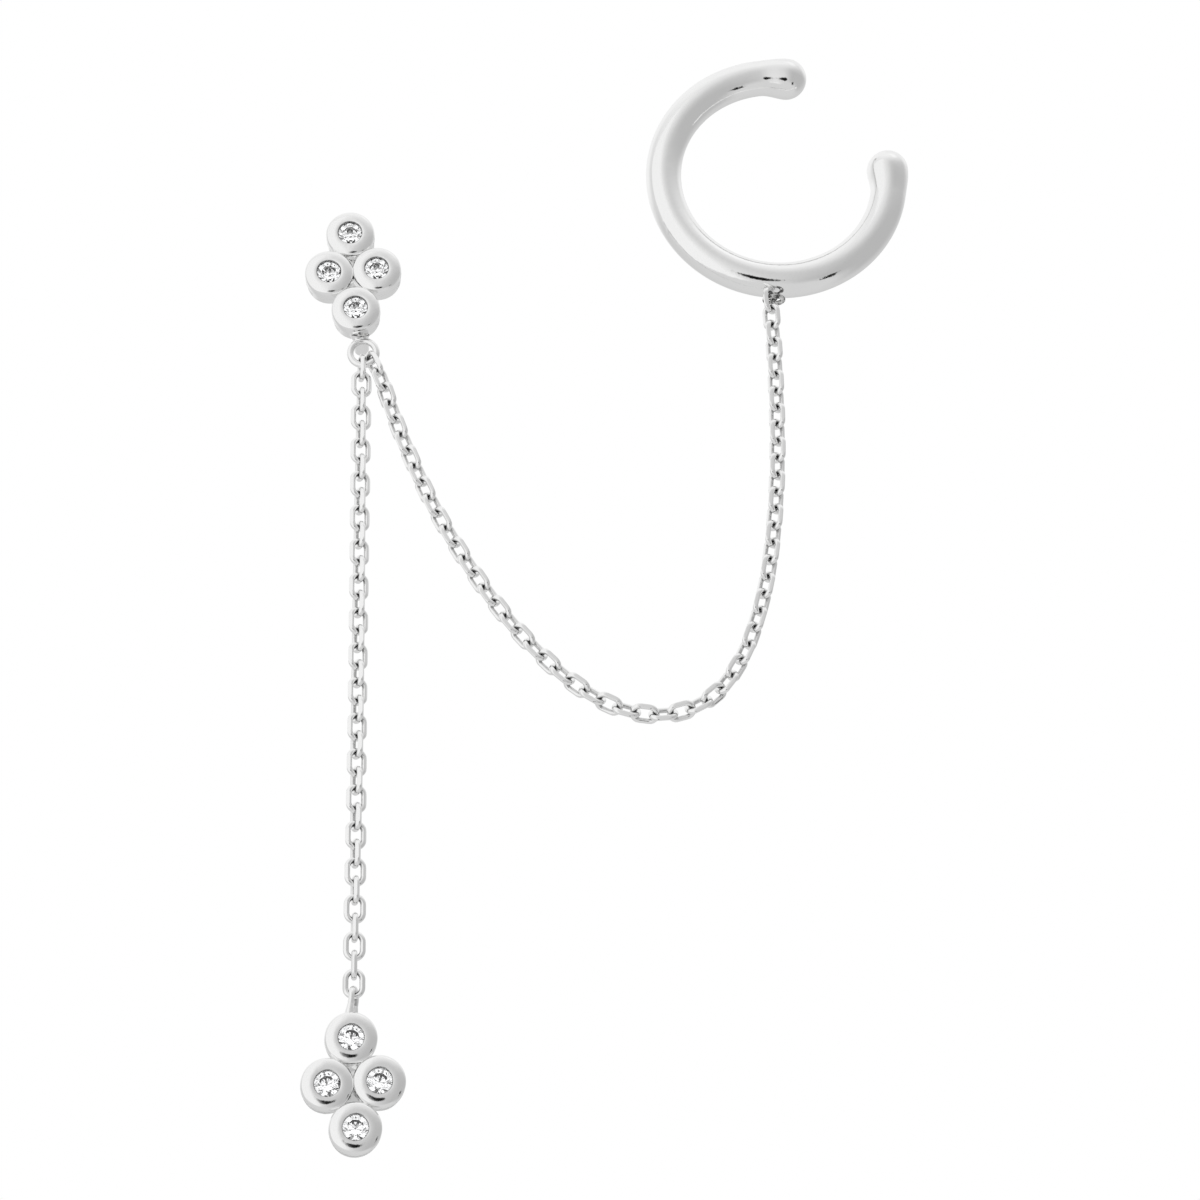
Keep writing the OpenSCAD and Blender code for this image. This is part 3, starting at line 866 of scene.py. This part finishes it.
def link_tree():
    """Geometry nodes that set one flat-cut link on each point and turn it as the point says."""
    tree = bpy.data.node_groups.new("cable_links", "GeometryNodeTree")
    tree.interface.new_socket("Spots", in_out="INPUT", socket_type="NodeSocketGeometry")
    sizes = (("Inside Length", LINK_INSIDE_LENGTH * MM), ("Inside Width", LINK_INSIDE_WIDTH * MM),
             ("Wire", LINK_WIRE * MM), ("Flat Cut", LINK_FLAT * MM))
    for name, value in sizes:
        group_input(tree, name, "NodeSocketFloat", value, 0.0)
    group_input(tree, "Corner Steps", "NodeSocketInt", LINK_CORNER_STEPS, 2, 24)
    group_input(tree, "Wire Sides", "NodeSocketInt", LINK_AROUND, 6, 32)
    tree.interface.new_socket("Metal", in_out="INPUT", socket_type="NodeSocketMaterial")
    tree.interface.new_socket("Links", in_out="OUTPUT", socket_type="NodeSocketGeometry")
    nodes, wires = tree.nodes, tree.links
    given = nodes.new("NodeGroupInput")
    result = nodes.new("NodeGroupOutput")

    wire_d = given.outputs["Wire"]
    long = maths(tree, "ADD", given.outputs["Inside Length"], wire_d)
    wide = maths(tree, "ADD", given.outputs["Inside Width"], wire_d)
    frame_curve = nodes.new("GeometryNodeCurvePrimitiveQuadrilateral")
    wires.new(long, frame_curve.inputs["Width"])
    wires.new(wide, frame_curve.inputs["Height"])
    corners = nodes.new("GeometryNodeFilletCurve")
    corners.mode = "POLY"
    corners.inputs["Limit Radius"].default_value = True
    wires.new(frame_curve.outputs["Curve"], corners.inputs["Curve"])
    wires.new(given.outputs["Corner Steps"], corners.inputs["Count"])
    wires.new(maths(tree, "MULTIPLY", wide, LINK_BEND_SHARE), corners.inputs["Radius"])
    section = nodes.new("GeometryNodeCurvePrimitiveCircle")
    wires.new(given.outputs["Wire Sides"], section.inputs["Resolution"])
    wires.new(maths(tree, "MULTIPLY", wire_d, 0.5), section.inputs["Radius"])
    body = nodes.new("GeometryNodeCurveToMesh")
    wires.new(corners.outputs["Curve"], body.inputs["Curve"])
    wires.new(section.outputs["Curve"], body.inputs["Profile Curve"])

    # The chain's four flat cuts stand at 45 degrees to each link and take its wire's outer side off
    place = nodes.new("GeometryNodeInputPosition")
    parts = nodes.new("ShaderNodeSeparateXYZ")
    joined = nodes.new("ShaderNodeCombineXYZ")
    wires.new(place.outputs["Position"], parts.inputs["Vector"])
    wires.new(parts.outputs["X"], joined.inputs["X"])
    along, aside = parts.outputs["X"], parts.outputs["Y"]
    left = maths(tree, "SUBTRACT", maths(tree, "MULTIPLY", wire_d, 0.5), given.outputs["Flat Cut"])
    limit = maths(tree, "ADD", maths(tree, "MULTIPLY", wide, 0.5), maths(
        tree, "MULTIPLY", left, math.sqrt(2)))
    spans = {axis: maths(tree, "ABSOLUTE", parts.outputs[axis]) for axis in "YZ"}
    over = maths(tree, "MULTIPLY", maths(tree, "MAXIMUM", maths(tree, "SUBTRACT", maths(
        tree, "ADD", spans["Y"], spans["Z"]), limit), 0.0), 0.5)
    for axis, span in spans.items():
        wires.new(maths(tree, "MULTIPLY", maths(tree, "SUBTRACT", span, over), maths(
            tree, "SIGN", parts.outputs[axis])), joined.inputs[axis])
    # Shade is painted on the wire's inner side, most of all at the link's ends
    half = maths(tree, "MULTIPLY", maths(tree, "SUBTRACT", long, wide), 0.5)
    far = maths(tree, "ABSOLUTE", along)
    past = maths(tree, "MAXIMUM", maths(tree, "SUBTRACT", far, half), 0.0)
    reach = maths(tree, "SQRT", maths(tree, "ADD", maths(tree, "MULTIPLY", past, past),
                                      maths(tree, "MULTIPLY", aside, aside)))
    inner = maths(tree, "DIVIDE", maths(
        tree, "SUBTRACT", maths(tree, "MULTIPLY", wide, 0.5), reach), maths(
        tree, "MULTIPLY", wire_d, 0.5))
    at_end = maths(tree, "DIVIDE", past, maths(tree, "MULTIPLY", wide, LINK_END_SHARE))
    dark = maths(tree, "ADD", maths(tree, "MULTIPLY", maths(
        tree, "MINIMUM", at_end, 1.0), LINK_END_PAINTED_SHADE), LINK_SIDE_PAINTED_SHADE)
    depth = maths(tree, "MULTIPLY", maths(tree, "MAXIMUM", inner, 0.0), dark)
    stored = nodes.new("GeometryNodeStoreNamedAttribute")
    stored.data_type = "FLOAT"
    stored.domain = "POINT"
    stored.inputs["Name"].default_value = "painted_shade"
    wires.new(body.outputs["Mesh"], stored.inputs["Geometry"])
    wires.new(depth, stored.inputs["Value"])
    cut = nodes.new("GeometryNodeSetPosition")
    wires.new(stored.outputs["Geometry"], cut.inputs["Geometry"])
    wires.new(joined.outputs["Vector"], cut.inputs["Position"])

    turn = nodes.new("FunctionNodeAxesToRotation")
    turn.primary_axis = "X"
    turn.secondary_axis = "Y"
    for name, socket in (("along", "Primary Axis"), ("across", "Secondary Axis")):
        way = nodes.new("GeometryNodeInputNamedAttribute")
        way.data_type = "FLOAT_VECTOR"
        way.inputs["Name"].default_value = name
        wires.new(way.outputs["Attribute"], turn.inputs[socket])
    spread = nodes.new("GeometryNodeInstanceOnPoints")
    wires.new(given.outputs["Spots"], spread.inputs["Points"])
    wires.new(cut.outputs["Geometry"], spread.inputs["Instance"])
    wires.new(turn.outputs["Rotation"], spread.inputs["Rotation"])
    real = nodes.new("GeometryNodeRealizeInstances")
    finish = nodes.new("GeometryNodeSetMaterial")
    wires.new(spread.outputs["Instances"], real.inputs["Geometry"])
    wires.new(real.outputs["Geometry"], finish.inputs["Geometry"])
    wires.new(given.outputs["Metal"], finish.inputs["Material"])
    wires.new(finish.outputs["Geometry"], result.inputs["Links"])
    return tree


def chain(tree, node, name):
    """One chain of links, where the CAD chain has them."""
    spots = link_spots(node)
    seed = bpy.data.meshes.new(name)
    seed.from_pydata([s[0] for s in spots], [], [])
    for key, column in (("along", 1), ("across", 2)):
        attribute = seed.attributes.new(key, "FLOAT_VECTOR", "POINT")
        attribute.data.foreach_set("vector", np.array([s[column] for s in spots]).ravel())
    holder = bpy.data.objects.new(name, seed)
    bpy.context.scene.collection.objects.link(holder)
    modifier = holder.modifiers.new("links", "NODES")
    modifier.node_group = tree
    sockets = {s.name: s.identifier for s in tree.interface.items_tree if s.in_out == "INPUT"}
    modifier[sockets["Metal"]] = CHAIN_SILVER
    bpy.context.view_layer.update()
    mesh = bpy.data.meshes.new_from_object(
        holder.evaluated_get(bpy.context.evaluated_depsgraph_get()))
    mesh.name = name
    bpy.data.objects.remove(holder)
    mesh.polygons.foreach_set("use_smooth", [True] * len(mesh.polygons))
    mesh.set_sharp_from_angle(angle=LINK_SHARP_EDGE)
    piece = bpy.data.objects.new(name, mesh)
    bpy.context.scene.collection.objects.link(piece)
    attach(piece, "worn")
    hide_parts(node)


# Studio


def plain(name, level):
    """An even grey finish that mirrors nothing."""
    material = bpy.data.materials.new(name)
    material.use_nodes = True
    shader = material.node_tree.nodes["Principled BSDF"]
    shader.inputs["Base Color"].default_value = (level, level, level, 1)
    shader.inputs["Roughness"].default_value = MATT
    shader.inputs["Specular IOR Level"].default_value = 0.0
    return material


def staged(name, points, faces, material):
    """A piece of the stage from points in millimetres."""
    mesh = bpy.data.meshes.new(name)
    mesh.from_pydata([Vector(p) * MM for p in points], [], faces)
    mesh.materials.append(material)
    card = bpy.data.objects.new(name, mesh)
    bpy.context.scene.collection.objects.link(card)
    return card


def disc(name, middle, r, facing, material):
    """A flat round card."""
    turn = Vector(facing).to_track_quat("Z", "Y").to_matrix()
    points = [Vector(middle) + turn @ Vector((r * math.cos(a), r * math.sin(a), 0))
              for a in (2 * math.pi * k / DISC_STEPS for k in range(DISC_STEPS))]
    return staged(name, points, [list(range(DISC_STEPS))], material)


def direction(azimuth, elevation):
    """A direction from the object: azimuth 0 is to the front, 90 to the right."""
    a, e = math.radians(azimuth), math.radians(elevation)
    return Vector((math.sin(a) * math.cos(e), -math.cos(a) * math.cos(e), math.sin(e)))


def tent():
    """White light tent: brightest above and at the left, greyer at the right and below."""
    world = bpy.data.worlds.new("light_tent")
    bpy.context.scene.world = world
    world.use_nodes = True
    tree = world.node_tree
    nodes, links = tree.nodes, tree.links
    nodes.clear()
    place = nodes.new("ShaderNodeTexCoord")
    axes = nodes.new("ShaderNodeSeparateXYZ")
    links.new(place.outputs["Generated"], axes.inputs["Vector"])
    azimuth = maths(tree, "DEGREES", maths(tree, "ARCTAN2", axes.outputs["X"], maths(
        tree, "MULTIPLY", axes.outputs["Y"], -1.0)))
    elevation = maths(tree, "DEGREES", maths(tree, "ARCSINE", axes.outputs["Z"]))
    low, level, high = TENT_LEVELS
    colour = mixed(tree, ramp(tree, elevation, *TENT_LOW_STEP), (low,) * 3, (level,) * 3)
    colour = mixed(tree, ramp(tree, elevation, *TENT_HIGH_STEP), colour, (high,) * 3)
    for left, right, bottom, top, soft, shade in TENT_REGIONS:
        mask = ramp(tree, azimuth, left - soft[0], left + soft[0])
        for value, start, end in ((azimuth, right + soft[1], right - soft[1]),
                                  (elevation, bottom - soft[2], bottom + soft[2]),
                                  (elevation, top + soft[3], top - soft[3])):
            mask = maths(tree, "MULTIPLY", mask, ramp(tree, value, start, end))
        colour = mixed(tree, mask, colour, (shade,) * 3)
    sight = nodes.new("ShaderNodeLightPath")
    gaze = nodes.new("ShaderNodeVectorMath")
    gaze.operation = "DOT_PRODUCT"
    links.new(place.outputs["Generated"], gaze.inputs[0])
    gaze.inputs[1].default_value = direction(*SHADE_WAY)
    near = ramp(tree, gaze.outputs["Value"], math.cos(math.radians(SHADE_OUTER_R)),
                math.cos(math.radians(SHADE_FULL_R)))
    stone_light = mixed(tree, near, (STONE_LIGHT,) * 3, (SHADE_LEVEL,) * 3)
    colour = mixed(tree, sight.outputs["Is Transmission Ray"], colour, stone_light)
    colour = mixed(tree, sight.outputs["Is Camera Ray"], colour, (1.0, 1.0, 1.0))
    light = nodes.new("ShaderNodeBackground")
    out = nodes.new("ShaderNodeOutputWorld")
    links.new(colour, light.inputs["Color"])
    links.new(light.outputs["Background"], out.inputs["Surface"])


def soft_round(name, level, r):
    """A plain finish that fades out around the camera's place."""
    material = plain(name, level)
    tree = material.node_tree
    place = tree.nodes.new("ShaderNodeTexCoord")
    away = tree.nodes.new("ShaderNodeVectorMath")
    away.operation = "DISTANCE"
    away.inputs[1].default_value = Vector(CAMERA_PLACE) * MM
    tree.links.new(place.outputs["Object"], away.inputs[0])
    tree.links.new(ramp(tree, away.outputs["Value"], r * MM, FADE_FROM * r * MM),
                   tree.nodes["Principled BSDF"].inputs["Alpha"])
    return material


def lens_card():
    """The photographer's dark lens, which the polished metal mirrors."""
    card = disc("lens_card", CAMERA_PLACE, LENS_R, Vector(CAMERA_AIM) - Vector(CAMERA_PLACE),
                soft_round("lens_black", LENS_LEVEL, LENS_R))
    card.visible_camera = card.visible_transmission = False


def photographer_card():
    """The grey photographer round the lens, whom only the stones show."""
    grey = soft_round("photographer_grey", PHOTOGRAPHER_LEVEL, PHOTOGRAPHER_R)
    card = disc("photographer_card", CAMERA_PLACE, PHOTOGRAPHER_R,
                Vector(CAMERA_AIM) - Vector(CAMERA_PLACE), grey)
    card.visible_camera = card.visible_glossy = card.visible_diffuse = card.visible_shadow = False


def stand_card():
    """A dark narrow stand below and to the right of the camera."""
    start, end = (Vector(CUFF_MIDDLE) + STAND_AWAY * direction(*way) for way in STAND_WAYS)
    gaze = (Vector(CUFF_MIDDLE) - (start + end) / 2).normalized()
    side = (end - start).normalized().cross(gaze) * STAND_HALF_WIDTH
    card = staged("stand_card", (start - side, end - side, end + side, start + side),
                  [(0, 1, 2, 3)], plain("stand_black", STAND_LEVEL))
    card.visible_camera = False


def white_card():
    """A lit card at the left, which bezels and chains mirror more than the cuff does."""
    material = bpy.data.materials.new("card_white")
    material.use_nodes = True
    tree = material.node_tree
    shader = tree.nodes["Principled BSDF"]
    shader.inputs["Base Color"].default_value = (0, 0, 0, 1)
    shader.inputs["Specular IOR Level"].default_value = 0.0
    shader.inputs["Emission Color"].default_value = (WHITE_CARD_LEVEL,) * 3 + (1,)
    shader.inputs["Emission Strength"].default_value = 1.0
    place = tree.nodes.new("ShaderNodeTexCoord")
    axes = tree.nodes.new("ShaderNodeSeparateXYZ")
    tree.links.new(place.outputs["Object"], axes.inputs["Vector"])
    (near_x, near_y), (far_x, far_y) = WHITE_CARD_SIDES
    low, high = WHITE_CARD_HEIGHTS
    soft = 2 * WHITE_CARD_SOFT
    mask = ramp(tree, axes.outputs["X"], near_x * MM, (near_x - soft) * MM)
    for start, end in ((low, low + soft), (high, high - soft)):
        mask = maths(tree, "MULTIPLY", mask, ramp(tree, axes.outputs["Z"], start * MM, end * MM))
    tree.links.new(mask, shader.inputs["Alpha"])
    corners = ((near_x, near_y, low), (far_x, far_y, low), (far_x, far_y, high),
               (near_x, near_y, high))
    card = staged("white_card", corners, [(0, 1, 2, 3)], material)
    card.visible_camera = card.visible_transmission = card.visible_shadow = False


def studio():
    """The light, the floor, the cards and the camera."""
    tent()
    floor = disc("floor", FLOOR_MIDDLE, FLOOR_R, (0, 0, 1), plain("pale_floor", FLOOR_LEVEL))
    floor.visible_shadow = floor.visible_glossy = floor.visible_transmission = False
    lens_card()
    photographer_card()
    stand_card()
    white_card()
    camera = bpy.data.cameras.new("camera")
    camera.lens = CAMERA_LENS
    camera.sensor_width = SENSOR
    camera.clip_start, camera.clip_end = CAMERA_CLIP
    stand = bpy.data.objects.new("camera", camera)
    bpy.context.scene.collection.objects.link(stand)
    gaze = Vector(CAMERA_AIM) - Vector(CAMERA_PLACE)
    stand.rotation_mode = "QUATERNION"
    stand.rotation_quaternion = (gaze.to_track_quat("-Z", "Y").to_matrix()
                                 @ Matrix.Rotation(CAMERA_ROLL, 3, "Z")).to_quaternion()
    stand.location = Vector(CAMERA_PLACE) * MM
    bpy.context.scene.camera = stand
    bpy.context.scene.view_settings.view_transform = "Standard"


studio()
stud()
post()
cuff()
eyelet()
pendant()
stones("stud", "worn", STUD_TURNS, STUD_TILTS)
stones("drop", "pendant", DROP_TURNS, DROP_TILTS)
LINKS = link_tree()
chain(LINKS, "drape_chain", "draped_links")
chain(LINKS, "drop_chain", "straight_links")

bpy.context.view_layer.update()
